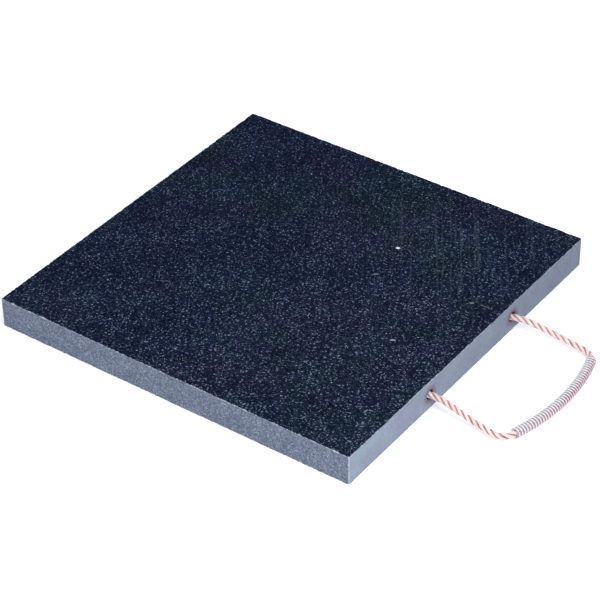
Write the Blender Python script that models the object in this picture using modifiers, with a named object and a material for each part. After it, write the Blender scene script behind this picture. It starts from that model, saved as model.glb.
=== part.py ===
"""A square stone slab with a rope carrying handle.

Metres, +Z up. +X points out of the face that carries the handle, and the
origin is the centre of the slab's underside. "Right" is +Y and "left" is -Y,
as seen by someone facing the handle.
"""

from math import pi, sqrt

import bmesh
import bpy
import numpy as np
from mathutils import Matrix, Vector

# Slab
SLAB_SIDE = 0.380
SLAB_THICKNESS = 0.030
CORNER_ROUND = 0.0015  # on the four upright corners
ARRIS_CHAMFER = 0.0006  # on every other outer edge

# Rope, its holes and the pockets that hide its stopper knots
ROPE_DIAMETER = 0.0064
HOLE_DIAMETER = 0.0090
HOLE_SPACING = 0.135
POCKET_DIAMETER = 0.028
POCKET_SETBACK = 0.040  # from the handle face to a pocket's centre
KNOT_TO_ROPE = 2.65  # a drawn-up stopper knot's diameter over its rope's
KNOT_ROOM = 0.0015  # above the knot or the hole, to the pocket's roof
KNOT_END_ROOM = 0.0035  # from the rope's cut end to the pocket's wall

# Grip, a hose that is loose on the rope
GRIP_CLEARANCE = 0.0008  # all round the rope
GRIP_WALL = 0.0010
GRIP_FROM_RIGHT = 0.0836  # along the rope, from the right hinge point to the grip
GRIP_FROM_LEFT = 0.0835  # along the rope, from the left hinge point to the grip

GAP = 0.0003  # between pieces that touch
TUBE_SIDES_RESOLUTION = 4  # a bevel resolution of 4 gives 12 sides

# The rope from the right hole to the left one. Each point is the distance out
# from the hinge line, the distance outward from its own hole's line, and its
# height as a share of the drop: 1 level with the hole, 0 level with the grip.
RIGHT_HALF = (
    (0.0000, 0.0005, 1.000),
    (0.0060, 0.0018, 0.975),
    (0.0140, 0.0031, 0.890),
    (0.0245, 0.0040, 0.740),
    (0.0365, 0.0046, 0.550),
    (0.0485, 0.0050, 0.360),
    (0.0575, 0.0052, 0.220),
    (0.0640, 0.0053, 0.130),
    (0.0680, 0.0052, 0.082),
    (0.0723, 0.0044, 0.040),
    (0.0764, 0.0020, 0.012),
    (0.0792, -0.0012, 0.000),
    (0.0808, -0.0048, 0.000),
    (0.0820, -0.0095, 0.000),
    (0.0838, -0.0175, 0.000),
    (0.0867, -0.0355, 0.000),
    (0.0880, -0.0535, 0.000),
)
LEFT_HALF = (
    (0.0878, -0.0635, 0.000),
    (0.0860, -0.0455, 0.000),
    (0.0827, -0.0275, 0.000),
    (0.0792, -0.0145, 0.000),
    (0.0777, -0.0095, 0.000),
    (0.0760, -0.0047, 0.000),
    (0.0742, -0.0012, 0.005),
    (0.0713, 0.0017, 0.025),
    (0.0676, 0.0034, 0.065),
    (0.0635, 0.0041, 0.120),
    (0.0560, 0.0042, 0.230),
    (0.0480, 0.0039, 0.360),
    (0.0365, 0.0030, 0.545),
    (0.0245, 0.0015, 0.740),
    (0.0140, 0.0003, 0.890),
    (0.0060, -0.0002, 0.975),
    (0.0000, 0.0000, 1.000),
)

# Worked out from the sizes above
FACE_X = SLAB_SIDE / 2
HOLE_Z = SLAB_THICKNESS / 2
HOLE_Y = HOLE_SPACING / 2
ROPE_RADIUS = ROPE_DIAMETER / 2
HINGE_X = FACE_X + GAP + ROPE_RADIUS  # the loop's round ends turn just clear of the face
GRIP_BORE_RADIUS = ROPE_RADIUS + GRIP_CLEARANCE
GRIP_RADIUS = GRIP_BORE_RADIUS + GRIP_WALL
GRIP_Z = GRIP_RADIUS + GAP
KNOT_RADIUS = ROPE_RADIUS * KNOT_TO_ROPE
POCKET_RADIUS = POCKET_DIAMETER / 2
POCKET_X = FACE_X - POCKET_SETBACK
POCKET_DEPTH = max(2 * KNOT_RADIUS, HOLE_Z + HOLE_DIAMETER / 2) + KNOT_ROOM
POCKET_WALL_X = POCKET_X + POCKET_RADIUS
KNOT_X = POCKET_WALL_X - GAP - KNOT_RADIUS
KNOT_Z = POCKET_DEPTH - KNOT_ROOM - KNOT_RADIUS

SIDES = {"right": HOLE_Y, "left": -HOLE_Y}


def new_collection(name):
    collection = bpy.data.collections.new(name)
    bpy.context.scene.collection.children.link(collection)
    return collection


def new_material(name, colour, roughness, alpha=1.0):
    material = bpy.data.materials.new(name)
    material.use_nodes = True
    shader = material.node_tree.nodes["Principled BSDF"]
    shader.inputs["Base Color"].default_value = (*colour, 1.0)
    shader.inputs["Roughness"].default_value = roughness
    shader.inputs["Metallic"].default_value = 0.0
    shader.inputs["Alpha"].default_value = alpha
    material.diffuse_color = (*colour, alpha)
    return material


def add_object(name, mesh, collection, material=None, location=(0, 0, 0)):
    obj = bpy.data.objects.new(name, mesh)
    obj.location = location
    collection.objects.link(obj)
    if material:
        obj.data.materials.append(material)
    return obj


def mesh_from(name, make):
    """A mesh that the function make fills with bmesh tools."""
    mesh = bpy.data.meshes.new(name)
    bm = bmesh.new()
    make(bm)
    bmesh.ops.recalc_face_normals(bm, faces=bm.faces)
    bm.to_mesh(mesh)
    bm.free()
    return mesh


def add_cylinder(bm, radius, length, matrix, segments=48):
    bmesh.ops.create_cone(
        bm,
        cap_ends=True,
        segments=segments,
        radius1=radius,
        radius2=radius,
        depth=length,
        matrix=matrix,
    )


def along_x(x0, x1, y=0.0, z=0.0):
    """The matrix and the length of a cylinder that runs along X from x0 to x1."""
    middle = Matrix.Translation(((x0 + x1) / 2, y, z))
    return middle @ Matrix.Rotation(pi / 2, 4, "Y"), abs(x1 - x0)


def shade_round(mesh):
    mesh.shade_smooth()
    mesh.set_sharp_from_angle(angle=pi / 5)


def cut(obj, cutter):
    modifier = obj.modifiers.new("cut " + cutter.name, "BOOLEAN")
    modifier.operation = "DIFFERENCE"
    modifier.solver = "EXACT"
    modifier.object = cutter


def make_cutter(name, mesh, location):
    cutter = add_object(name, mesh, cutters, location=location)
    cutter.hide_render = True
    cutter.display_type = "WIRE"
    return cutter


def make_slab():
    def block(bm):
        size = Matrix.Diagonal((SLAB_SIDE, SLAB_SIDE, SLAB_THICKNESS, 1.0))
        bmesh.ops.create_cube(bm, size=1.0, matrix=size)
        upright = [
            edge
            for edge in bm.edges
            if abs(edge.verts[0].co.z - edge.verts[1].co.z) > SLAB_THICKNESS / 2
        ]
        bmesh.ops.bevel(
            bm,
            geom=upright,
            offset=CORNER_ROUND,
            segments=3,
            profile=0.5,
            affect="EDGES",
        )

    slab = add_object(
        "slab",
        mesh_from("slab", block),
        parts,
        stone,
        location=(0, 0, SLAB_THICKNESS / 2),
    )
    arris = slab.modifiers.new("arris", "BEVEL")
    arris.width = ARRIS_CHAMFER
    arris.segments = 1
    arris.limit_method = "ANGLE"
    arris.angle_limit = pi / 4

    overshoot = 0.005
    for side, y in SIDES.items():
        turn, length = along_x(POCKET_X - FACE_X, overshoot)
        hole = mesh_from(
            "hole", lambda bm: add_cylinder(bm, HOLE_DIAMETER / 2, length, turn, 32)
        )
        cut(slab, make_cutter("hole_" + side, hole, (FACE_X, y, HOLE_Z)))

        depth = POCKET_DEPTH + overshoot
        rise = Matrix.Translation((0, 0, depth / 2 - overshoot))
        pocket = mesh_from("pocket", lambda bm: add_cylinder(bm, POCKET_RADIUS, depth, rise))
        cut(slab, make_cutter("pocket_" + side, pocket, (POCKET_X, y, 0)))
    return slab


def make_tail(side, y):
    """The stretch of rope inside a hole, from the handle face to the pocket's wall."""
    turn, length = along_x(POCKET_WALL_X - FACE_X, 0)
    mesh = mesh_from(
        "rope_tail", lambda bm: add_cylinder(bm, ROPE_RADIUS, length, turn, 12)
    )
    shade_round(mesh)
    return add_object("rope_tail_" + side, mesh, parts, rope, (FACE_X, y, HOLE_Z))


def make_knot(side, y):
    """A stopper knot drawn up against the pocket's wall, with its cut end behind it."""

    def ball(bm):
        bmesh.ops.create_uvsphere(bm, u_segments=20, v_segments=12, radius=KNOT_RADIUS)

    def cut_end(bm):
        end_x = POCKET_X - POCKET_RADIUS + KNOT_END_ROOM - KNOT_X
        turn, length = along_x(end_x, 0)
        add_cylinder(bm, ROPE_RADIUS, length, turn, 12)

    place = (KNOT_X, y, KNOT_Z)
    knot = add_object(
        "stopper_knot_" + side, mesh_from("stopper_knot", ball), parts, rope, place
    )
    end = make_cutter("knot_end_" + side, mesh_from("knot_end", cut_end), place)
    join = knot.modifiers.new("cut end", "BOOLEAN")
    join.operation = "UNION"
    join.solver = "EXACT"
    join.object = end
    shade_round(knot.data)
    return knot


def route_points():
    """The rope's route points, from the right hinge point to the left one."""

    def place(out, aside, height, y):
        return (
            HINGE_X + out,
            y + np.sign(y) * aside,
            GRIP_Z + height * (HOLE_Z - GRIP_Z),
        )

    right = [place(*point, SIDES["right"]) for point in RIGHT_HALF]
    left = [place(*point, SIDES["left"]) for point in LEFT_HALF]
    return np.array(right + left)


def smooth_curve(points, steps=24):
    """Samples of the natural cubic spline through points."""
    chord = np.linalg.norm(np.diff(points, axis=0), axis=1)
    count = len(points)
    system = np.zeros((count, count))
    given = np.zeros((count, 3))
    system[0, 0] = system[-1, -1] = 1.0
    for i in range(1, count - 1):
        before, after = chord[i - 1], chord[i]
        system[i, i - 1 : i + 2] = before, 2 * (before + after), after
        given[i] = 6 * (
            (points[i + 1] - points[i]) / after - (points[i] - points[i - 1]) / before
        )
    bend = np.linalg.solve(system, given)

    share = np.linspace(0, 1, steps, endpoint=False)[:, None]
    runs = []
    for i, span in enumerate(chord):
        near, far = 1 - share, share
        curve = near * points[i] + far * points[i + 1]
        curve += (near**3 - near) * bend[i] * span**2 / 6
        curve += (far**3 - far) * bend[i + 1] * span**2 / 6
        runs.append(curve)
    return np.vstack(runs + [points[-1:]])


def stretch(curve, start, end, spacing):
    """Evenly spaced points of curve between two distances along it."""
    steps = np.linalg.norm(np.diff(curve, axis=0), axis=1)
    along = np.concatenate([[0], np.cumsum(steps)])
    last = along[-1] - end
    count = int(np.ceil((last - start) / spacing)) + 1
    wanted = np.linspace(start, last, count)
    return np.column_stack([np.interp(wanted, along, curve[:, i]) for i in range(3)])


def tube_curve(name, points, radius, shares=None, caps=True):
    data = bpy.data.curves.new(name, "CURVE")
    data.dimensions = "3D"
    data.bevel_depth = radius
    data.bevel_resolution = TUBE_SIDES_RESOLUTION
    data.use_fill_caps = caps
    spline = data.splines.new("POLY")
    spline.points.add(len(points) - 1)
    for i, point in enumerate(points):
        spline.points[i].co = (*point, 1.0)
        spline.points[i].radius = 1.0 if shares is None else shares[i]
    spline.use_smooth = True
    return bpy.data.objects.new(name, data)


def make_rope_loop(curve):
    """The free rope, a tube whose ends are domes centred on the hinge line."""
    body = stretch(curve, 0, 0, ROPE_DIAMETER)
    back = np.array([0.97, 0.85, 0.62, 0.32])  # distances behind the centre, in radii
    dome = np.sqrt(1 - back**2)
    inward = np.array([-1.0, 0.0, 0.0]) * ROPE_RADIUS
    first = body[0] + back[:, None] * inward
    last = body[-1] + back[::-1, None] * inward
    points = np.vstack([first, body, last]) - body[0]
    shares = np.concatenate([dome, np.ones(len(body)), dome[::-1]])
    loop = tube_curve("rope_loop", points, ROPE_RADIUS, shares)
    loop.data.materials.append(rope)
    loop.location = Vector(body[0])
    parts.objects.link(loop)
    return loop


def make_grip(curve):
    """The hose: an open tube along the rope, thickened inward."""
    points = stretch(curve, GRIP_FROM_RIGHT, GRIP_FROM_LEFT, ROPE_DIAMETER)
    middle = points[len(points) // 2]
    guide = tube_curve("grip_guide", points - middle, GRIP_RADIUS, caps=False)
    cutters.objects.link(guide)
    graph = bpy.context.evaluated_depsgraph_get()
    mesh = bpy.data.meshes.new_from_object(guide.evaluated_get(graph))
    bpy.data.objects.remove(guide)
    grip = add_object("grip_hose", mesh, parts, hose, Vector(middle))
    shade_round(mesh)
    wall = grip.modifiers.new("wall", "SOLIDIFY")
    wall.thickness = GRIP_WALL
    wall.offset = -1.0
    wall.use_even_offset = True
    return grip


for old in list(bpy.data.objects):
    bpy.data.objects.remove(old)

parts = new_collection("granite_slab")
cutters = new_collection("cutters")

stone = new_material("stone", (0.016, 0.024, 0.040), 0.45)
rope = new_material("rope", (0.80, 0.50, 0.42), 0.85)
hose = new_material("hose", (0.74, 0.70, 0.72), 0.30, alpha=0.6)

make_slab()
for side_name, hole_y in SIDES.items():
    make_tail(side_name, hole_y)
    make_knot(side_name, hole_y)
rope_curve = smooth_curve(route_points())
make_rope_loop(rope_curve)
make_grip(rope_curve)
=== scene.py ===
import math
from functools import reduce
from operator import add
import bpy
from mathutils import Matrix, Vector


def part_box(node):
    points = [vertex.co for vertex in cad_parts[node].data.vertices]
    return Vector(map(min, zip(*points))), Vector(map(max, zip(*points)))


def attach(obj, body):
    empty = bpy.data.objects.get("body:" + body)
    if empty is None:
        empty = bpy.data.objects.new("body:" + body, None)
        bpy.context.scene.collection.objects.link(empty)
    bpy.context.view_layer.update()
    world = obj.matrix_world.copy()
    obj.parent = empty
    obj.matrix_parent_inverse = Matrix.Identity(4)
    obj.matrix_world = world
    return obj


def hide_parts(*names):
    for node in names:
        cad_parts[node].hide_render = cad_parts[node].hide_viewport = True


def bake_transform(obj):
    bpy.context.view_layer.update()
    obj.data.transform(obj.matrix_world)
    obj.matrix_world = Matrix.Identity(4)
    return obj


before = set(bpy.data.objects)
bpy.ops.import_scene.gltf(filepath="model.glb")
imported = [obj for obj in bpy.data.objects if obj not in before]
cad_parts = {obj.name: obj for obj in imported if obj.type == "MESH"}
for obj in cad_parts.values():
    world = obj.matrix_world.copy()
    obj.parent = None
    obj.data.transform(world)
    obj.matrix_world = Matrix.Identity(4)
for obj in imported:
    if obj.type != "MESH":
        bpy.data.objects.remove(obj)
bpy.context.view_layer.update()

from types import SimpleNamespace

import bmesh
import bpy
import numpy as np
from mathutils import Matrix, Vector

print("frame loaded:", ", ".join(sorted(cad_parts)))

scene = bpy.context.scene
scene.view_settings.view_transform = "Standard"

slabLow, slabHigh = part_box("slab")
slabSide = slabHigh.x - slabLow.x
slabTop = slabHigh.z
faceX = slabHigh.x               # the face that the rope comes out of
holeZ = slabTop / 2
hingeX = faceX + 0.0035          # the line that the handle swings about

# the camera, turned about the slab and shifted a little across and up
view = {
    "azimuth": 35.966,           # degrees from -Y towards +X
    "elevation": 36.850,
    "roll": -0.581,
    "lens": 138.01,              # mm
    "sensor": 36,                # mm
    "distance": 2.1171,          # metres from the slab's underside centre
    "across": 0.0033,
    "up": -0.0052,
}


def aimCamera(values):
    turn, rise, roll = (math.radians(values[name]) for name in ("azimuth", "elevation", "roll"))
    flat = math.cos(rise)
    back = Vector((math.sin(turn) * flat, -math.cos(turn) * flat, math.sin(rise)))
    level = Vector((0, 0, 1)).cross(back).normalized()
    upright = back.cross(level)
    right = math.cos(roll) * level + math.sin(roll) * upright
    above = math.cos(roll) * upright - math.sin(roll) * level
    place = back * values["distance"] + right * values["across"] + above * values["up"]
    lens = bpy.data.cameras.new("studioCamera")
    lens.lens = values["lens"]
    lens.sensor_width = values["sensor"]
    holder = bpy.data.objects.new("studioCamera", lens)
    scene.collection.objects.link(holder)
    holder.matrix_world = Matrix.Translation(place) @ Matrix((right, above, back)).transposed().to_4x4()
    scene.camera = holder


aimCamera(view)


# one socket of a node: sums on it add Math nodes
class Wire:
    def __init__(self, finish, socket):
        self.finish = finish
        self.socket = socket

    def __add__(self, other):
        return self.finish.sum("ADD", self, other)

    __radd__ = __add__

    def __sub__(self, other):
        return self.finish.sum("SUBTRACT", self, other)

    def __rsub__(self, other):
        return self.finish.sum("SUBTRACT", other, self)

    def __mul__(self, other):
        return self.finish.sum("MULTIPLY", self, other)

    __rmul__ = __mul__


# the nodes of one material, or of the world
class Finish:
    def __init__(self, owner):
        self.owner = owner
        self.owner.use_nodes = True
        self.tree = self.owner.node_tree
        self.tree.nodes.clear()

    # settings are set before the sockets, which take a value or a Wire
    def add(self, kind, settings, sockets, output=0):
        node = self.tree.nodes.new(kind)
        for name, value in settings.items():
            setattr(node, name, value)
        for name, value in sockets.items():
            self.plug(node.inputs[name], value)
        return Wire(self, node.outputs[output]) if len(node.outputs) else None

    def plug(self, socket, value):
        if isinstance(value, Wire):
            self.tree.links.new(value.socket, socket)
        elif socket.type == "RGBA" and len(value) == 3:
            socket.default_value = (*value, 1)
        else:
            socket.default_value = value

    def sum(self, operation, first, second=0.0):
        return self.add("ShaderNodeMath", {"operation": operation}, {0: first, 1: second})

    def vector(self, operation, sockets, output=0):
        return self.add("ShaderNodeVectorMath", {"operation": operation}, sockets, output)

    def ease(self, value, start, end, low=0.0, high=1.0):
        return self.add("ShaderNodeMapRange", {"interpolation_type": "SMOOTHSTEP"},
                        {0: value, 1: start, 2: end, 3: low, 4: high})

    def blend(self, first, second, factor):
        return self.add("ShaderNodeMix", {"data_type": "RGBA"}, {0: factor, 6: first, 7: second}, 2)

    def tint(self, colour, amount):
        grey = self.add("ShaderNodeCombineColor", {}, {0: amount, 1: amount, 2: amount})
        return self.add("ShaderNodeMix", {"data_type": "RGBA", "blend_type": "MULTIPLY"},
                        {0: 1.0, 6: colour, 7: grey}, 2)

    def place(self):
        return self.add("ShaderNodeTexCoord", {}, {}, "Object")

    # the object's own coordinates shifted, turned and then stretched
    def laid(self, place, turns, scale, shift=(0, 0, 0)):
        turned = self.add("ShaderNodeMapping", {"vector_type": "TEXTURE"},
                          {0: place, 1: shift, 2: tuple(map(math.radians, turns))})
        return self.vector("MULTIPLY", {0: turned, 1: scale})

    def noise(self, place, scale, detail=2.0, roughness=0.5):
        return self.add("ShaderNodeTexNoise", {}, {"Vector": place, "Scale": scale, "Detail": detail,
                                                   "Roughness": roughness})

    def attribute(self, name):
        return self.add("ShaderNodeAttribute", {"attribute_name": name}, {}, "Fac")

    def shade(self, sockets, bump=None):
        if bump is not None:
            height, distance, strength = bump
            sockets["Normal"] = self.add("ShaderNodeBump", {}, {"Height": height, "Distance": distance,
                                                                "Strength": strength})
        surface = self.add("ShaderNodeBsdfPrincipled", {}, sockets)
        self.add("ShaderNodeOutputMaterial", {}, {0: surface})
        return self.owner


def addMesh(name, points, faces, material=None, values=None):
    mesh = bpy.data.meshes.new(name)
    mesh.from_pydata([tuple(map(float, point)) for point in points], [], faces)
    mesh.polygons.foreach_set("use_smooth", [True] * len(mesh.polygons))
    for attribute, numbers in (values or {}).items():
        layer = mesh.attributes.new(attribute, "FLOAT", "POINT")
        layer.data.foreach_set("value", np.asarray(numbers, np.float32))
    mesh.update()
    made = bpy.data.objects.new(name, mesh)
    scene.collection.objects.link(made)
    if material is not None:
        mesh.materials.append(material)
    return made


# faces of a skin over rings of equal length, each ring joined to the next and back to its own start
def skin(rings, around, first=0, capStart=True, capEnd=True):
    faces = []
    for ring in range(rings - 1):
        for step in range(around):
            after = (step + 1) % around
            low, high = first + ring * around, first + (ring + 1) * around
            faces.append((low + step, low + after, high + after, high + step))
    if capStart:
        faces.append(tuple(first + step for step in reversed(range(around))))
    if capEnd:
        last = first + (rings - 1) * around
        faces.append(tuple(last + step for step in range(around)))
    return faces


def lengths(curve):
    steps = np.linalg.norm(np.diff(curve, axis=0), axis=1)
    return np.concatenate([[0.0], np.cumsum(steps)])


# the points between two distances along a curve, evenly spaced
def stretch(curve, start, end, spacing):
    along = lengths(curve)
    count = max(2, int(round((end - start) / spacing)) + 1)
    wanted = np.linspace(start, end, count)
    return np.stack([np.interp(wanted, along, curve[:, axis]) for axis in range(3)], axis=1)


# a natural cubic spline through the points
def smoothCurve(points, perSpan=24):
    knots = lengths(points)
    gap = np.diff(knots)
    count = len(points)
    system = np.eye(count)
    right = np.zeros((count, 3))
    for i in range(1, count - 1):
        system[i, i - 1:i + 2] = (gap[i - 1], 2 * (gap[i - 1] + gap[i]), gap[i])
        ahead = (points[i + 1] - points[i]) / gap[i]
        behind = (points[i] - points[i - 1]) / gap[i - 1]
        right[i] = 6 * (ahead - behind)
    bend = np.linalg.solve(system, right)
    found = []
    for i in range(count - 1):
        for share in np.arange(perSpan) / perSpan:
            before, after = (1 - share) * gap[i], share * gap[i]
            curveBy = (bend[i] * before ** 3 + bend[i + 1] * after ** 3) / (6 * gap[i])
            found.append(curveBy + (points[i] / gap[i] - bend[i] * gap[i] / 6) * before
                         + (points[i + 1] / gap[i] - bend[i + 1] * gap[i] / 6) * after)
    found.append(points[-1])
    return np.array(found)


# tangents and two crosswise directions that don't twist along the curve
def carriedFrames(curve):
    tangent = np.gradient(curve, axis=0)
    tangent /= np.linalg.norm(tangent, axis=1, keepdims=True)
    side = np.zeros_like(curve)
    guess = np.array([0.0, 0.0, 1.0])
    for i, ahead in enumerate(tangent):
        guess = guess - ahead * guess.dot(ahead)
        guess /= np.linalg.norm(guess)
        side[i] = guess
    return tangent, side, np.cross(tangent, side)


# smooth random ups and downs that meet at the ends of a closed row
def wander(random, count, stride):
    controls = random.uniform(-1, 1, max(4, count // stride))
    place = np.arange(count) / count * len(controls)
    low = place.astype(int) % len(controls)
    share = place - place.astype(int)
    share = share * share * (3 - 2 * share)
    return controls[low] * (1 - share) + controls[(low + 1) % len(controls)] * share


# the rope's line runs out of one hole, round the handle and into the other
rope = {
    "diameter": 0.0064,
    "lay": 0.0235,               # metres for one full turn of the strands
    "strandRadius": 0.00152,
    "strandOffset": 0.00168,
    "yarns": 7,                  # in each strand
    "yarnLay": 0.0210,
    "yarnRelief": 0.085,         # how deep the yarns' valleys are, as a share of the strand
    "spacing": 0.0008,           # between the rings of the mesh
    "pointsPerYarn": 4,
    "insideHole": 0.0055,        # how far the swinging length starts inside the hole
    "seed": 11,
    "crest": 0.82,               # the cosine of the turn about a strand at which its groove begins
    "grooveSlope": 0.75,
    "unevenness": 0.018,         # how much a strand swells and thins, as a share of its radius
    "endRound": 0.0026,          # the rounding of a cut end
    "fused": 0.0042,             # how far a cut end is melted together
    "dyedYarns": (0.05, 0.95, 0.75, 0.10, 0.00, 0.20, 0.05),   # how strongly each one is dyed
    "cream": ((0.95, 0.86, 0.83), (0.88, 0.70, 0.68)),         # in patches
    "dye": (0.74, 0.38, 0.35),
    "shadow": ((0.60, 0.25, 0.19), (0.33, 0.18, 0.14)),        # between the strands, in patches
    "yarnShadow": (0.58, 0.29, 0.28),
    "burnt": (0.30, 0.17, 0.11),
}
gripZ = 0.0053                   # height of the rope's middle where the sleeve lies on the bench
holeAcross = 0.0675              # each hole's distance from the middle of the face

# out from the hinge line, outward from its own hole's line, share of the height to the hole
rightHalf = (
    (0.0000, 0.0005, 1.000), (0.0060, 0.0018, 0.975), (0.0140, 0.0031, 0.890),
    (0.0245, 0.0040, 0.740), (0.0365, 0.0046, 0.550), (0.0485, 0.0050, 0.360),
    (0.0575, 0.0052, 0.220), (0.0640, 0.0053, 0.130), (0.0680, 0.0052, 0.082),
    (0.0723, 0.0044, 0.040), (0.0764, 0.0020, 0.012), (0.0792, -0.0012, 0.000),
    (0.0808, -0.0048, 0.000), (0.0820, -0.0095, 0.000), (0.0838, -0.0175, 0.000),
    (0.0867, -0.0355, 0.000), (0.0880, -0.0535, 0.000),
)
leftHalf = (
    (0.0878, -0.0635, 0.000), (0.0860, -0.0455, 0.000), (0.0827, -0.0275, 0.000),
    (0.0792, -0.0145, 0.000), (0.0777, -0.0095, 0.000), (0.0760, -0.0047, 0.000),
    (0.0742, -0.0012, 0.005), (0.0713, 0.0017, 0.025), (0.0676, 0.0034, 0.065),
    (0.0635, 0.0041, 0.120), (0.0560, 0.0042, 0.230), (0.0480, 0.0039, 0.360),
    (0.0365, 0.0030, 0.545), (0.0245, 0.0015, 0.740), (0.0140, 0.0003, 0.890),
    (0.0060, -0.0002, 0.975), (0.0000, 0.0000, 1.000),
)


def routePoints():
    points = [(hingeX + out, holeAcross + aside, gripZ + share * (holeZ - gripZ))
              for out, aside, share in rightHalf]
    points += [(hingeX + out, -holeAcross - aside, gripZ + share * (holeZ - gripZ))
               for out, aside, share in leftHalf]
    return np.array(points)


freeLine = smoothCurve(routePoints())
freeLength = lengths(freeLine)[-1]
print("rope outside the slab: %.1f mm" % (freeLength * 1000))


# the stopper knot is an overhand knot pulled tight: x runs along the hole, y across it and z up
knot = {
    "reach": 2.16,               # how far each way the loose knot's curve is followed
    "spread": (0.00155, 0.0042, 0.0026),   # how large the loose knot is each way
    "closest": 0.0056,           # how near the rope's middles lie once it is tight
    "neighbours": 1.9,           # lengths of that along the rope within which nothing is pushed apart
    "points": 74,
    "steps": 720,
    "shorter": 0.38,             # the share of its length that the line loses
    "shortBy": 0.75,             # the share of the steps in which it does
    "soften": 0.12,              # how much of a kink one step takes out
    "pulls": 3,                  # corrections of the spacing in one step
    "grip": 0.4,                 # how much of an error one correction takes out
    "ends": ((0.030, 0.0, 0.0005), (-0.030, 0.0, -0.0020)),    # where the line is held
    "middle": (0.1540, 0.0145),  # x and z of the knot's own centre
    "tailEnd": -0.0135,          # where the spare end is cut, from that centre
    "wall": 0.0100,              # where the pocket's wall is, from that centre
}


def tightKnot(values):
    t = np.linspace(-values["reach"], values["reach"], 600)
    loose = np.stack([-(t ** 5 - 10 * t), t ** 3 - 3 * t, t ** 4 - 4 * t ** 2 + 1.6], axis=1)
    loose = loose * values["spread"]
    total = lengths(loose)[-1]
    line = stretch(loose, 0, total, total / (values["points"] - 1))
    looseStep = total / (len(line) - 1)
    place = np.arange(len(line))
    between = np.abs(place[:, None] - place[None, :])
    closest, grip, (start, end) = values["closest"], values["grip"], values["ends"]
    for turn in range(values["steps"]):
        done = min(1.0, turn / (values["steps"] * values["shortBy"]))
        step = looseStep * (1 - values["shorter"] * done)
        apart = between * step > values["neighbours"] * closest
        line[1:-1] += values["soften"] * (0.5 * (line[:-2] + line[2:]) - line[1:-1])
        for _ in range(values["pulls"]):
            ahead = line[1:] - line[:-1]
            size = np.linalg.norm(ahead, axis=1, keepdims=True)
            move = grip * (size - step) * ahead / size
            line[:-1] += move
            line[1:] -= move
            reach = line[:, None, :] - line[None, :, :]
            gap = np.linalg.norm(reach, axis=2) + 1e-9
            push = np.where(apart & (gap < closest), (closest - gap) / gap, 0.0)
            share = grip / np.maximum(1, (push > 0).sum(axis=1))
            line += (reach * push[:, :, None]).sum(axis=1) * share[:, None]
            inHole = line[:, 0] > values["wall"]
            line[inHole, 1:] = start[1:]
        line[0] = start
        line[-1] = end
    kept = (line[:, 0] > values["tailEnd"]) & (line[:, 0] < values["wall"])
    return line[kept]


knotLine = tightKnot(knot)
print("knot drawn tight from", len(knotLine), "points")


# side is +1 for the hole at +Y and -1 for the other
def inwardLine(side):
    clear = 0.0015               # kept between this run and the lines it joins
    entry = np.linspace(hingeX - clear, knot["middle"][0] + knot["wall"] + clear, 8)
    middle = np.array([knot["middle"][0], side * holeAcross, knot["middle"][1]])
    points = [(x, side * holeAcross, holeZ) for x in entry]
    points += [tuple(middle + point * (1, side, 1)) for point in knotLine]
    return np.array(points)


def wholeRope():
    right = inwardLine(1)[::-1]
    left = inwardLine(-1)
    joined = np.concatenate([right, routePoints(), left])
    return smoothCurve(joined, 12)


ropeLine = wholeRope()
ropeLine = stretch(ropeLine, 0, lengths(ropeLine)[-1], rope["spacing"])
ropeAlong = lengths(ropeLine)
print("whole rope: %.0f mm, %d rings" % (ropeAlong[-1] * 1000, len(ropeLine)))


# the first or last ring that lies at x in the hole on that side
def nearest(x, side, last):
    place, aside, height = ropeLine.T
    inHole = (np.abs(height - holeZ) < 0.002) & (np.abs(aside * side - holeAcross) < 0.003)
    found = np.flatnonzero(inHole & (np.abs(place - x) < rope["spacing"]))
    return int(found[-1 if last else 0])


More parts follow.
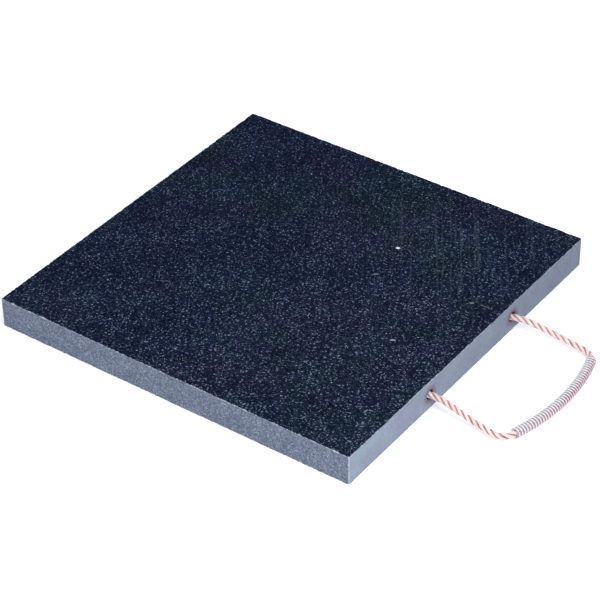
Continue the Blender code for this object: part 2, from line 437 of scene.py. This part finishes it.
def strandSkins():
    along = ropeAlong
    total = along[-1]
    tangent, side, across = carriedFrames(ropeLine)
    perRing = rope["yarns"] * rope["pointsPerYarn"]
    random = np.random.default_rng(rope["seed"])
    fromEnd = np.minimum(along, total - along)
    dome = np.sqrt(np.clip(1 - np.clip(1 - fromEnd / rope["endRound"], 0, 1) ** 2, 0.02, 1))
    fused = np.clip(1 - fromEnd / rope["fused"], 0, 1)
    swells, fades = 90, 60       # random values along the rope
    made = []
    for strand in range(3):
        angle = 2 * math.pi * (along / rope["lay"] + strand / 3)
        outward = np.cos(angle)[:, None] * side + np.sin(angle)[:, None] * across
        middle = ropeLine + outward * (rope["strandOffset"] * dome)[:, None]
        ahead = np.gradient(middle, axis=0)
        ahead /= np.linalg.norm(ahead, axis=1, keepdims=True)
        sideways = np.cross(ahead, outward)
        sideways /= np.linalg.norm(sideways, axis=1, keepdims=True)
        out = np.cross(sideways, ahead)
        swell = np.interp(along, np.linspace(0, total, swells), random.uniform(-1, 1, swells))
        breathe = 1 + rope["unevenness"] * swell
        fade = np.interp(along, np.linspace(0, total, fades), random.uniform(0.55, 1.0, fades))
        points, tone, groove, fusedAt, valley = [], [], [], [], []
        for step in range(perRing):
            yarn, share = divmod(step / rope["pointsPerYarn"], 1)
            crown = math.sin(math.pi * share)
            turn = 2 * math.pi * (step / perRing - along / rope["yarnLay"])
            dip = 1 - rope["yarnRelief"] * (1 - crown) * (1 - fused)
            radius = rope["strandRadius"] * dip * breathe * dome
            points.append(middle + out * (np.cos(turn) * radius)[:, None]
                          + sideways * (np.sin(turn) * radius)[:, None])
            tone.append(rope["dyedYarns"][int(yarn)] * fade * (0.4 + 0.6 * crown))
            groove.append(np.clip((rope["crest"] - np.cos(turn)) / rope["grooveSlope"], 0, 1))
            valley.append(np.full(len(along), 1 - crown))
            fusedAt.append(fused)
        made.append({
            "points": np.stack(points, axis=1),
            "tone": np.stack(tone, axis=1),
            "groove": np.stack(groove, axis=1),
            "valley": np.stack(valley, axis=1),
            "fused": np.stack(fusedAt, axis=1),
        })
    return made


def ropeMaterial():
    finish = Finish(bpy.data.materials.new("twistedRope"))
    place = finish.place()
    tone = finish.attribute("tone")
    groove = finish.attribute("groove")
    valley = finish.attribute("valley")
    fused = finish.attribute("fused")
    fibres = finish.noise(place, 2600, 3, 0.6)
    patches = finish.noise(place, 60, 2)
    cream = finish.blend(*rope["cream"], finish.ease(patches, 0.35, 0.7))
    colour = finish.blend(cream, rope["dye"], tone * finish.ease(patches, 0.25, 0.6, 0.25, 0.65))
    shadow = finish.blend(*rope["shadow"], finish.ease(finish.noise(place, 130, 2), 0.42, 0.62))
    # the painted shadow between the strands is weaker in random patches
    wearAndPaintedLight = finish.ease(finish.noise(place, 210, 2), 0.30, 0.60, 0.62, 1.0)
    colour = finish.blend(colour, shadow, finish.ease(groove, 0.30, 0.92, 0.0, 0.97) * wearAndPaintedLight)
    colour = finish.blend(colour, rope["yarnShadow"], valley * 0.32)
    colour = finish.tint(colour, finish.ease(fibres, 0.25, 0.75, 0.86, 1.08))
    colour = finish.blend(colour, rope["burnt"], finish.ease(fused, 0.25, 0.9))
    return finish.shade({
        "Base Color": colour,
        "Roughness": finish.ease(fused, 0.2, 0.9, 0.82, 0.35),
        "Specular IOR Level": 0.3,
        "Sheen Weight": 0.15,
        "Sheen Roughness": 0.5,
    }, (fibres, 0.00025, 0.5))


ropeFinish = ropeMaterial()
strands = strandSkins()


def ropePiece(name, start, end, node, body):
    points, faces = [], []
    values = {"tone": [], "groove": [], "valley": [], "fused": []}
    for strand in strands:
        part = strand["points"][start:end + 1]
        rings, around = part.shape[:2]
        faces += skin(rings, around, len(points))
        points += list(part.reshape(-1, 3))
        for key, numbers in values.items():
            numbers += list(strand[key][start:end + 1].reshape(-1))
    piece = addMesh(name, points, faces, ropeFinish, values)
    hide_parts(node)
    if body:
        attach(piece, body)
    return piece


loopStart = nearest(faceX - rope["insideHole"], 1, True)
loopEnd = nearest(faceX - rope["insideHole"], -1, False)
knotFrom = knot["middle"][0] + knot["wall"] + 0.0006
knotEndRight = nearest(knotFrom, 1, True)
knotEndLeft = nearest(knotFrom, -1, False)

loop = ropePiece("ropeLoop", loopStart, loopEnd, "rope_loop", None)
ropePiece("ropeTailRight", knotEndRight, loopStart, "rope_tail_right", "slab")
ropePiece("ropeTailLeft", loopEnd, knotEndLeft, "rope_tail_left", "slab")
ropePiece("stopperKnotRight", 0, knotEndRight, "stopper_knot_right", "slab")
ropePiece("stopperKnotLeft", knotEndLeft, len(ropeLine) - 1, "stopper_knot_left", "slab")
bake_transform(loop)
print("rope laid:", len(loop.data.vertices), "points in the loop")


# the sleeve is a clear hose with a spiral rib, over the far side of the loop
sleeve = {
    "fromRight": 0.0836,         # metres of rope from the hinge line to the sleeve, at each end
    "fromLeft": 0.0835,
    "outerRadius": 0.0050,
    "tubeRadius": 0.00468,
    "boreRadius": 0.0040,
    "waist": 0.00016,            # how far the wall draws in between the turns of the rib
    "lip": 0.0002,               # how far each end bulges
    "around": 36,
    "spacing": 0.0007,           # between the rings of the mesh
    "ribRadius": 0.00037,
    "ribPitch": 0.00315,
    "ribSunk": 0.00003,          # how far the rib is let in below the outside
    "ribWider": 1.5,             # its width over its height
    "ribEnds": (0.006, 0.994),   # shares of the sleeve's length
    "ribRim": 8,
    "ribPerTurn": 28,
    "dyedSide": (0.75, -0.35, -0.55),   # the way that the dyed side of the hose faces
    "wall": ((0.50, 0.51, 0.56), (0.64, 0.65, 0.70)),
    "wallDye": (0.50, 0.20, 0.30),
    "wallAlpha": 0.38,
    "ribColour": ((0.80, 0.81, 0.83), (0.92, 0.92, 0.93)),
    "ribDye": (0.78, 0.57, 0.65),
    "ribAlpha": 0.9,
}


# the rope's dye on the hose: on one side, and fading from the right hand end to the left
def dyeOn(finish, start, end, least):
    fading = finish.ease(finish.attribute("along"), 0.3, 0.95, 0.95, least)
    return finish.ease(finish.attribute("rubbed"), start, end) * fading


def tubeMaterial():
    finish = Finish(bpy.data.materials.new("clearHose"))
    haze = finish.noise(finish.place(), 420, 3)
    colour = finish.blend(*sleeve["wall"], finish.ease(haze, 0.3, 0.7))
    return finish.shade({
        "Base Color": finish.blend(colour, sleeve["wallDye"], dyeOn(finish, 0.22, 0.66, 0.32)),
        "Roughness": finish.ease(haze, 0.3, 0.7, 0.16, 0.34),
        "Alpha": sleeve["wallAlpha"],
        "IOR": 1.5,
        "Coat Weight": 0.3,
        "Coat Roughness": 0.12,
    }, (haze, 0.0002, 0.25))


def ribMaterial():
    finish = Finish(bpy.data.materials.new("hoseRib"))
    haze = finish.noise(finish.place(), 900, 2)
    colour = finish.blend(*sleeve["ribColour"], finish.ease(haze, 0.3, 0.7))
    return finish.shade({
        "Base Color": finish.blend(colour, sleeve["ribDye"], dyeOn(finish, 0.26, 0.74, 0.30)),
        "Roughness": finish.ease(haze, 0.3, 0.7, 0.22, 0.4),
        "Alpha": sleeve["ribAlpha"],
    }, (haze, 0.0001, 0.2))


# the points of rings about a line: the line, two crosswise directions, and the reach along each
def ringsAbout(line, first, second, firstReach, secondReach):
    return (line[:, None, :] + first[:, None, :] * firstReach[..., None]
            + second[:, None, :] * secondReach[..., None])


def addTube(line, frames, reddened, values):
    tangent, side, across = frames
    around = values["around"]
    turn = 2 * np.pi * np.arange(around) / around
    ring = ringsAbout(np.zeros_like(line), side, across, np.cos(turn)[None, :], np.sin(turn)[None, :])
    along = lengths(line)
    phase = along[:, None] / values["ribPitch"] - turn[None, :] / (2 * np.pi)
    waist = values["waist"] * (0.5 - 0.5 * np.cos(2 * np.pi * phase))
    outer = line[:, None, :] + ring * (values["tubeRadius"] - waist)[:, :, None]
    inner = line[:, None, :] + ring * values["boreRadius"]
    outward = tangent[[0, -1], None, :] * np.array([-1, 1])[:, None, None]
    lip = 0.5 * (outer[[0, -1]] + inner[[0, -1]]) + outward * values["lip"]
    shells = np.concatenate([lip[:1], outer, lip[1:], inner[::-1]])
    faces = skin(len(shells), around, 0, False, False)
    last = (len(shells) - 1) * around
    faces += [(last + i, last + (i + 1) % around, (i + 1) % around, i) for i in range(around)]
    spokes = np.concatenate([ring[:1], ring, ring[-1:], ring[::-1]]).reshape(-1, 3)
    shares = along / along[-1]
    shares = np.concatenate([shares[:1], shares, shares[-1:], shares[::-1]])
    return addMesh("sleeveTube", shells.reshape(-1, 3), faces, tubeMaterial(),
                   {"rubbed": 0.5 + 0.5 * spokes @ reddened, "along": np.repeat(shares, around)})


def addRib(line, frames, reddened, values):
    along = lengths(line)
    turns = along[-1] / values["ribPitch"]
    share = np.linspace(*values["ribEnds"], int(turns * values["ribPerTurn"]))
    spot = share * along[-1]
    middle, ahead, side, across = (
        np.stack([np.interp(spot, along, rows[:, axis]) for axis in range(3)], axis=1)
        for rows in (line, *frames))
    angle = 2 * np.pi * spot / values["ribPitch"]
    out = np.cos(angle)[:, None] * side + np.sin(angle)[:, None] * across
    middle = middle + out * (values["outerRadius"] - values["ribRadius"] - values["ribSunk"])
    rim = values["ribRim"]
    edge = 2 * np.pi * np.arange(rim) / rim
    high = np.cos(edge) * values["ribRadius"]
    wide = np.sin(edge) * values["ribRadius"] * values["ribWider"]
    points = ringsAbout(middle, out, ahead, high[None, :], wide[None, :])
    faces = [face[::-1] for face in skin(len(points), rim)]
    return addMesh("sleeveRib", points.reshape(-1, 3), faces, ribMaterial(),
                   {"rubbed": np.repeat(0.5 + 0.5 * out @ reddened, rim), "along": np.repeat(share, rim)})


sleeveLine = stretch(freeLine, sleeve["fromRight"], freeLength - sleeve["fromLeft"], sleeve["spacing"])
sleeveFrames = carriedFrames(sleeveLine)
dyedSide = np.array(sleeve["dyedSide"]) / np.linalg.norm(sleeve["dyedSide"])
tube = addTube(sleeveLine, sleeveFrames, dyedSide, sleeve)
rib = addRib(sleeveLine, sleeveFrames, dyedSide, sleeve)
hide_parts("grip_hose")
for piece in (tube, rib):
    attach(piece, "grip")
print("sleeve and its rib made")

loopPath = ropeLine[loopStart:loopEnd + 1:3]
loopPath = np.concatenate([loopPath, ropeLine[loopEnd:loopEnd + 1]])


# the slab is sawn stone with worn, nicked arrises, two rope holes and two knot pockets
stone = {
    "seed": 5,
    "cornerRound": 0.0015,
    "cornerSteps": 6,
    "pointSpacing": 0.0008,
    "arris": 0.00046,            # the worn edge's usual width
    "arrisChange": 0.00016,
    "arrisMost": 0.0030,         # the deepest bite in it
    "cornerMost": 0.0010,        # and at the slab's corners
    "nickSpacing": 0.0033,       # between small nicks, on average
    "nickSize": (0.0006, 0.0013),
    "chips": 20,                 # larger chips along each arris
    "chipSize": (0.0011, 0.0024),
    "cleanFace": 0.22,           # the size of both on the face with the holes, as a share
    "holeRadius": 0.0045,
    "holeRough": 0.00028,        # how far its wall strays
    "holeShort": 0.006,          # how far short of the pocket's middle a hole stops
    "pocketRadius": 0.0140,
    "pocketDepth": 0.0210,
    "pocketRough": 0.0003,
    "pocketX": 0.1500,
    "cutterSides": 64,
    "sliver": 0.000005,          # points nearer than this after the cuts are one
    "sharpOver": 24,             # degrees
    # each layer of crystals lies its own way: degrees, then cells in a metre across it and along it
    "flecks": ((24, 760, 270), (74, 640, 300), (140, 820, 320)),
    "streaks": ((38, 880, 150), (24, 780, 190), (150, 840, 220)),
    # colours, two where they change in patches
    "dark": ((0.0023, 0.0054, 0.0212), (0.0029, 0.0085, 0.0165)),
    "violet": (0.0048, 0.0048, 0.0205),
    "streak": (0.086, 0.131, 0.200),
    "fleck": (0.250, 0.345, 0.480),
    "speck": (0.43, 0.52, 0.63),
    "honing": (0.058, 0.070, 0.090),
    "scratch": (0.26, 0.29, 0.33),
    "nick": (0.80, 0.84, 0.90),
    "cut": ((0.143, 0.173, 0.246), (0.170, 0.200, 0.272)),
    "sawn": ((0.225, 0.245, 0.322), (0.230, 0.285, 0.352)),    # the face with the holes
    "sideFleck": (0.58, 0.62, 0.68),
    "sideSpeck": (0.80, 0.83, 0.88),
    "holeRing": (0.165, 0.070, 0.130),
    # the chipped arrises' own paler colour, which also carries a painted highlight along the edges
    "chipsAndPaintedHighlight": (0.52, 0.57, 0.64),
    "pocket": (0.15, 0.18, 0.22),
    # painted shadow inside the rope holes
    "holeShadow": (0.070, 0.034, 0.043),
}


# the slab's outline with rounded corners: places, the way each one faces, and which are on a corner
def slabOutline(spacing, rounding):
    half = slabSide / 2
    places, normals, corner = [], [], []
    run = slabSide - 2 * rounding
    count = int(round(run / spacing))
    for quarter in range(4):
        angle = quarter * math.pi / 2
        out = np.array([math.cos(angle), math.sin(angle)])
        way = np.array([-out[1], out[0]])
        for step in range(count + 1):
            places.append(out * half + way * (run * step / count - run / 2))
            normals.append(out)
            corner.append(0)
        middle = (out + way) * (half - rounding)
        for step in range(1, stone["cornerSteps"]):
            bend = angle + step / stone["cornerSteps"] * math.pi / 2
            spoke = np.array([math.cos(bend), math.sin(bend)])
            places.append(middle + spoke * rounding)
            normals.append(spoke)
            corner.append(1)
    return np.array(places), np.array(normals), np.array(corner)


# the depth of random nicks along a closed row of points
def bites(random, count, spacing, often, sizes):
    found = np.zeros(count)
    place = np.arange(count)
    for _ in range(often):
        middle = random.integers(count)
        half = random.uniform(*sizes) / spacing
        depth = random.uniform(0.35, 0.75) * half * spacing
        away = np.abs((place - middle + count // 2) % count - count // 2)
        found = np.maximum(found, depth * np.clip(1 - (away / half) ** 2, 0, 1))
    return found


# three rings that round one arris off: on the flat face, between, and on the sides
def arrisRings(random, places, normals, corner, level, inward):
    count = len(places)
    spacing = stone["pointSpacing"]
    uneven = wander(random, count, 9) + 0.6 * wander(random, count, 3)
    wearAndPaintedLight = stone["arris"] + stone["arrisChange"] * uneven
    often = int(count * spacing / stone["nickSpacing"])
    nicks = bites(random, count, spacing, often, stone["nickSize"])
    chips = bites(random, count, spacing, stone["chips"], stone["chipSize"])
    bite = np.maximum(nicks, chips)
    bite = bite * np.where(normals[:, 0] > 0.9, stone["cleanFace"], 1.0)
    bite = bite * (1 + 0.3 * random.uniform(-1, 1, count))
    back = wearAndPaintedLight + bite * (0.9 + 0.35 * wander(random, count, 7))
    down = wearAndPaintedLight + bite * (0.8 + 0.35 * wander(random, count, 7))
    most = np.where(corner > 0, stone["cornerMost"], stone["arrisMost"])
    back, down = np.minimum(back, most), np.minimum(down, most)
    hollow = 0.16 * bite - 0.10 * wearAndPaintedLight
    rings = []
    for inset, drop in ((back, 0 * down), (0.5 * back + hollow, 0.5 * down + hollow), (0 * back, down)):
        flat = places - normals * np.maximum(inset, 0)[:, None]
        rings.append(np.column_stack([flat, level + inward * np.maximum(drop, 0)]))
    return rings


# a turned solid: the profile's rows are distance, radius and how uneven it is there
def turnedCutter(name, profile, origin, axis, rough, random):
    around = stone["cutterSides"]
    turn = 2 * np.pi * np.arange(around) / around
    points = []
    for distance, radius, uneven in profile:
        waves = wander(random, around, 4) + 0.5 * random.uniform(-1, 1, around)
        reach = radius + uneven * rough * waves
        flat = np.column_stack([np.cos(turn) * reach, np.sin(turn) * reach, np.full(around, distance)])
        points.append(flat)
    rings = np.concatenate(points)
    facing = Vector((0, 0, 1)).rotation_difference(Vector(axis)).to_matrix()
    rings = rings @ np.array(facing).T + np.array(origin)
    return addMesh(name, rings, skin(len(profile), around))


def carve(body, cutters):
    for cutter in cutters:
        cut = body.modifiers.new("cut", "BOOLEAN")
        cut.operation = "DIFFERENCE"
        cut.solver = "EXACT"
        cut.object = cutter
    graph = bpy.context.evaluated_depsgraph_get()
    carved = bpy.data.meshes.new_from_object(body.evaluated_get(graph))
    body.modifiers.clear()
    # the cuts leave a few slivers of no area along the nicked edges
    clean = bmesh.new()
    clean.from_mesh(carved)
    bmesh.ops.remove_doubles(clean, verts=clean.verts, dist=stone["sliver"])
    bmesh.ops.triangulate(clean, faces=clean.faces)
    bmesh.ops.dissolve_degenerate(clean, edges=clean.edges, dist=stone["sliver"])
    bmesh.ops.triangulate(clean, faces=clean.faces)
    clean.to_mesh(carved)
    clean.free()
    body.data = carved
    for cutter in cutters:
        bpy.data.objects.remove(cutter)


def addSlab(material):
    random = np.random.default_rng(stone["seed"])
    places, normals, corner = slabOutline(stone["pointSpacing"], stone["cornerRound"])
    top = arrisRings(random, places, normals, corner, slabTop, -1)
    bottom = arrisRings(random, places, normals, corner, 0.0, 1)
    rings = top + bottom[::-1]
    around = len(places)
    faces = [face[::-1] for face in skin(len(rings), around)]
    slab = addMesh("stoneSlab", np.concatenate(rings), faces, material)
    radius, pocket, depth = stone["holeRadius"], stone["pocketRadius"], stone["pocketDepth"]
    hole = ((-0.0010, radius + 0.0011, 1), (0.0001, radius + 0.0007, 1), (0.0009, radius, 0.3),
            (faceX - stone["pocketX"] - stone["holeShort"], radius, 0.3))
    well = ((-0.0010, pocket + 0.0012, 1), (0.0001, pocket + 0.0006, 1), (0.0010, pocket, 0.2),
            (depth - 0.0016, pocket, 0.2), (depth - 0.0004, pocket - 0.0005, 0.2),
            (depth, pocket - 0.0016, 0.2))
    cutters = []
    for aside in (holeAcross, -holeAcross):
        cutters.append(turnedCutter("hole", hole, (faceX, aside, holeZ), (-1, 0, 0),
                                    stone["holeRough"], random))
        cutters.append(turnedCutter("well", well, (stone["pocketX"], aside, 0.0), (0, 0, 1),
                                    stone["pocketRough"], random))
    carve(slab, cutters)
    slab.data.polygons.foreach_set("use_smooth", [True] * len(slab.data.polygons))
    slab.data.set_sharp_from_angle(angle=math.radians(stone["sharpOver"]))
    return slab


# scratches, nicks and pits on the top face: x, y, degrees, half length, half width, strength
marks = (
    (0.0588, 0.0793, 30, 0.0027, 0.0019, 3.6),
    (0.1319, -0.0384, 36, 0.0036, 0.0013, 1.6),
    (0.1598, 0.0469, 30, 0.0030, 0.0012, 1.1),
    (0.1720, 0.0491, 0, 0.0090, 0.0012, 0.5),
    (0.0650, 0.0340, 34, 0.0042, 0.0011, 1.1),
    (0.0560, 0.0420, -47, 0.0150, 0.0006, 0.35),
    (0.0710, 0.0230, -55, 0.0140, 0.0006, 0.35),
    (0.0075, 0.0940, -54, 0.0300, 0.0010, 0.22),
    (0.0908, 0.0510, -59, 0.0390, 0.0009, 0.20),
    (0.1128, 0.0712, -60, 0.0430, 0.0010, 0.22),
    (0.1290, 0.1010, -57, 0.0260, 0.0012, 0.25),
    (0.0970, 0.1300, -55, 0.0240, 0.0012, 0.25),
    (0.0652, 0.0192, 0, 0.0020, 0.0018, -0.8),
    (-0.0350, 0.1180, -50, 0.0210, 0.0008, 0.2),
    (-0.0900, -0.0400, 25, 0.0060, 0.0007, 0.5),
    (0.0250, -0.0950, 60, 0.0045, 0.0007, 0.5),
)


# flecks: some of the cells of one layer, each fading out from its middle
def fleckLayer(finish, place, degrees, width, long):
    where = finish.laid(place, (0, 0, degrees), (long, width, 560), (0.0003 * degrees, 0.0011, 0.0004))
    cells = {"Vector": where, "Scale": 1.0}
    away, pick = (finish.add("ShaderNodeTexVoronoi", {"feature": "F1"}, cells, output)
                  for output in range(2))
    weight = finish.ease(finish.add("ShaderNodeSeparateColor", {}, {0: pick}), 0.58, 1.0)
    return finish.ease(away, 0.44, 0.20) * weight * (0.35 + 0.65 * weight)


def streakLayer(finish, place, degrees, width, long):
    where = finish.laid(place, (0, 0, degrees), (long, width, 500), (0.0007 * degrees, 0.0023, 0.0))
    return finish.ease(finish.noise(where, 1.0, 2, 0.6), 0.57, 0.76)


def markLayer(finish, place, x, y, degrees, long, wide, strength):
    where = finish.laid(place, (0, 0, degrees), (1 / long, 1 / wide, 0), (x, y, 0))
    return finish.ease(finish.vector("LENGTH", {0: where}, "Value"), 1.0, 0.35) * strength


# the values that the stone's colours, roughness and relief share
def stoneFields(finish):
    place = finish.place()
    x, y, z = (finish.add("ShaderNodeSeparateXYZ", {}, {0: place}, output) for output in range(3))
    half = slabSide / 2
    reach = [half - finish.sum("ABSOLUTE", axis) for axis in (x, y)]
    height = finish.sum("MINIMUM", z, slabTop - z)
    across = finish.sum("ABSOLUTE", y) - holeAcross
    aside = finish.add("ShaderNodeCombineXYZ", {}, {0: across, 1: z - holeZ})
    upper = finish.ease(z, 0.6 * slabTop, 0.9 * slabTop)
    sideGrain = finish.noise(place, 640, 4, 0.7)
    return SimpleNamespace(
        place=place, x=x, y=y,
        height=height,           # from the nearer of the top and the underside
        depth=finish.sum("MINIMUM", finish.sum("MINIMUM", *reach), height),
        fromHole=finish.vector("LENGTH", {0: aside}, "Value"),      # from the line of the nearer hole
        facing=finish.ease(x, half - 0.0010, half - 0.0004),        # 1 on the face with the holes
        flecks=reduce(add, (fleckLayer(finish, place, *layer) for layer in stone["flecks"])),
        streaks=reduce(add, (streakLayer(finish, place, *layer) for layer in stone["streaks"])),
        marked=reduce(add, (markLayer(finish, place, *mark) for mark in marks)) * upper,
        bright=finish.ease(finish.noise(place, 430, 2, 0.6), 0.66, 0.76),
        grain=finish.noise(place, 640, 3, 0.65),
        clouds=finish.noise(place, 26, 3, 0.55),
        sideGrain=sideGrain,
        sideClouds=finish.noise(place, 38, 3, 0.6),
        coarse=finish.ease(sideGrain, 0.32, 0.68, 0.60, 1.42),
        saw=finish.noise(finish.laid(place, (14, 14, 0), (620, 620, 26)), 1.0, 2, 0.55),
    )


# the honed top and underside: near black, with flecks, honing lines and the marks
def honedColour(finish, field):
    tints = finish.noise(field.place, 9, 2, 0.5)
    violet = finish.noise(field.place, 17, 2, 0.5)
    dark = finish.blend(*stone["dark"], finish.ease(tints, 0.40, 0.60))
    dark = finish.blend(dark, stone["violet"], finish.ease(violet, 0.48, 0.66, 0.0, 0.8))
    patches = finish.ease(field.clouds, 0.3, 0.7, 0.85, 1.15)
    colour = finish.tint(dark, patches * finish.ease(field.grain, 0.30, 0.70, 0.20, 1.9))
    # painted light: the flecks and streaks are brighter towards the corner at +X and -Y and dimmer away
    # from it
    paintedFrontLight = finish.ease(field.x * 0.59 - field.y * 0.81, -0.25, 0.20, 0.62, 1.10)
    patches = finish.ease(field.clouds, 0.3, 0.7, 0.75, 1.25)
    lightness = patches * finish.ease(field.grain, 0.38, 0.62, 0.22, 1.0) * paintedFrontLight
    colour = finish.blend(colour, stone["streak"], field.streaks * lightness * 0.42)
    colour = finish.blend(colour, stone["fleck"], field.flecks * lightness * 0.72)
    colour = finish.blend(colour, stone["speck"], field.bright * 0.75)
    # faint honing lines, strongest towards the corner at +X and +Y
    lines = finish.noise(finish.laid(field.place, (0, 0, -57), (7, 330, 1)), 1.0, 2, 0.6)
    corner = finish.vector("DISTANCE", {0: field.place, 1: (0.105, 0.105, slabTop)}, "Value")
    honing = finish.ease(lines, 0.50, 0.72) * finish.ease(corner, 0.115, 0.020, 0.18, 1.0)
    colour = finish.blend(colour, stone["honing"], honing * 0.42)
    scored = field.marked * finish.ease(field.grain, 0.2, 0.8, 0.5, 1.2)
    colour = finish.blend(colour, stone["scratch"], finish.ease(scored, 0.0, 1.3))
    return finish.blend(colour, stone["nick"], finish.ease(scored, 1.0, 2.2))


# the cut sides: paler and mottled, and the face with the holes smoother, with near upright saw lines
def cutColour(finish, field):
    half = slabSide / 2
    others = 1 - field.facing
    patches = finish.ease(field.sideClouds, 0.3, 0.7)
    sawn = finish.blend(*stone["sawn"], patches)
    # painted light: the face with the holes lighter towards its front end at -Y and darker towards the
    # back at +Y
    sawn = finish.tint(sawn, finish.ease(field.y, -half, half, 1.13, 0.84))
    pale = finish.blend(finish.blend(*stone["cut"], patches), sawn, field.facing)
    sawLines = finish.ease(field.saw, 0.25, 0.75, 0.93, 1.07)
    smooth = sawLines * finish.ease(field.sideGrain, 0.3, 0.72, 0.93, 1.08)
    colour = finish.tint(pale, field.coarse * others + smooth * field.facing)
    flecks = field.flecks * 0.8 + field.streaks * 0.35
    fewer = finish.ease(field.facing, 0.0, 1.0, 0.60, 0.08)
    colour = finish.blend(colour, stone["sideFleck"], flecks * fewer)
    colour = finish.blend(colour, stone["sideSpeck"], field.bright * others * 0.5)
    # the stone darker and redder in a ring round each hole
    reddened = finish.ease(field.fromHole, 0.0125, 0.0048, 0.0, 0.72)
    reddened = reddened * finish.ease(field.sideClouds, 0.3, 0.6, 0.6, 1.0) * field.facing
    return finish.blend(colour, stone["holeRing"], reddened)


def stoneMaterial():
    finish = Finish(bpy.data.materials.new("honedGranite"))
    field = stoneFields(finish)
    sideShare = finish.ease(field.height, 0.00004, 0.00030)
    bored = finish.ease(field.depth, 0.0035, 0.006)
    wearAndPaintedLight = finish.ease(field.depth, 0.00003, 0.00022) * (1 - bored)
    colour = finish.blend(honedColour(finish, field), cutColour(finish, field), sideShare)
    # the bevelled and chipped arrises are paler: partly the broken stone's own colour, partly a painted
    # highlight along the edges
    chipsAndPaintedHighlight = finish.tint(stone["chipsAndPaintedHighlight"], finish.ease(field.sideGrain, 0.3, 0.7, 0.6, 1.3))
    colour = finish.blend(colour, chipsAndPaintedHighlight, wearAndPaintedLight * finish.ease(field.clouds, 0.35, 0.6, 0.30, 0.65))
    colour = finish.blend(colour, finish.tint(stone["pocket"], field.coarse), bored * 0.9)
    # painted shadow inside the holes round the rope, only between the face and the pocket
    pocketWall = stone["pocketX"] + stone["pocketRadius"]
    between = finish.ease(field.x, pocketWall - 0.0015, pocketWall)
    holeShadowShare = finish.ease(field.fromHole, 0.0054, 0.0049, 0.0, 0.95) * between
    colour = finish.blend(colour, stone["holeShadow"], holeShadowShare)
    rough = finish.ease(field.grain, 0.3, 0.7, 0.34, 0.46) + field.flecks * -0.05
    relief = field.grain * 0.35 + field.flecks * 0.25 - field.marked * 0.5
    return finish.shade({
        "Base Color": colour,
        "Roughness": rough + sideShare * 0.24 + wearAndPaintedLight * 0.1,
        "Specular IOR Level": 0.04,
    }, (relief + sideShare * (field.saw * 0.8 + field.sideGrain * 1.1), 0.00018, 0.45))


slab = addSlab(stoneMaterial())
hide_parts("slab")
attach(slab, "slab")
print("slab cut:", len(slab.data.vertices), "points")


# the studio is a white bench top under soft lights
studio = {
    "floorColour": ((0.90, 0.905, 0.91), (0.90, 0.91, 0.92)),
    "floorReach": 6.0,
    "floorDrop": 0.00015,        # keeps it clear of the slab's underside
    "glow": ((0.33, 0.33, 0.33), (0.80, 0.79, 0.77)),   # the floor's own light, near and far
    "glowChanges": (0.55, 1.8),  # metres from the middle
    "worldColour": (0.62, 0.74, 0.92),
    "worldStrength": 0.22,
    "wallColour": (0.93, 0.94, 0.95),   # what stands behind the bench
    # place, size, watts
    "key": ((0.95, -0.50, 0.90), 0.55, 11),
    "fill": ((-1.3, -1.2, 1.6), 1.6, 9),
    "above": ((0.0, 0.0, 2.2), 2.2, 27),
    "rear": ((-1.2, 1.4, 1.0), 1.4, 6),
}


def addFloor():
    finish = Finish(bpy.data.materials.new("paleFloor"))
    cloud = finish.noise(finish.place(), 3, 2)
    colour = finish.blend(*studio["floorColour"], finish.ease(cloud, 0.3, 0.8))
    away = finish.vector("LENGTH", {0: finish.place()}, "Value")
    glow = finish.blend(*studio["glow"], finish.ease(away, *studio["glowChanges"]))
    material = finish.shade({"Base Color": colour, "Roughness": 0.85, "Specular IOR Level": 0.1,
                             "Emission Color": glow, "Emission Strength": 1.0})
    reach = studio["floorReach"]
    corners = [(-reach, -reach, 0), (reach, -reach, 0), (reach, reach, 0), (-reach, reach, 0)]
    floor = addMesh("benchTop", corners, [(0, 1, 2, 3)], material)
    floor.location.z = -studio["floorDrop"]


# a lamp that isn't mirrored lights the stone without showing in its gloss
def addLight(name, mirrored=True):
    place, size, watts = studio[name]
    lamp = bpy.data.lights.new(name, "AREA")
    lamp.shape = "SQUARE"
    lamp.size = size
    lamp.energy = watts
    holder = bpy.data.objects.new(name, lamp)
    scene.collection.objects.link(holder)
    holder.location = place
    holder.visible_glossy = mirrored
    holder.rotation_euler = Vector(place).to_track_quat("Z", "Y").to_euler()


# the sky lights the slab, and the camera sees a plain wall instead of it
def addWorld():
    scene.world = bpy.data.worlds.new("studioWorld")
    finish = Finish(scene.world)
    sky = finish.add("ShaderNodeBackground", {}, {0: studio["worldColour"], 1: studio["worldStrength"]})
    wall = finish.add("ShaderNodeBackground", {}, {0: studio["wallColour"], 1: 1.0})
    seen = finish.add("ShaderNodeLightPath", {}, {}, "Is Camera Ray")
    either = finish.add("ShaderNodeMixShader", {}, {0: seen, 1: sky, 2: wall})
    finish.add("ShaderNodeOutputWorld", {}, {0: either})


addFloor()
for name in ("key", "fill", "above"):
    addLight(name)
addLight("rear", mirrored=False)
addWorld()
print("studio lit")

bpy.context.view_layer.update()
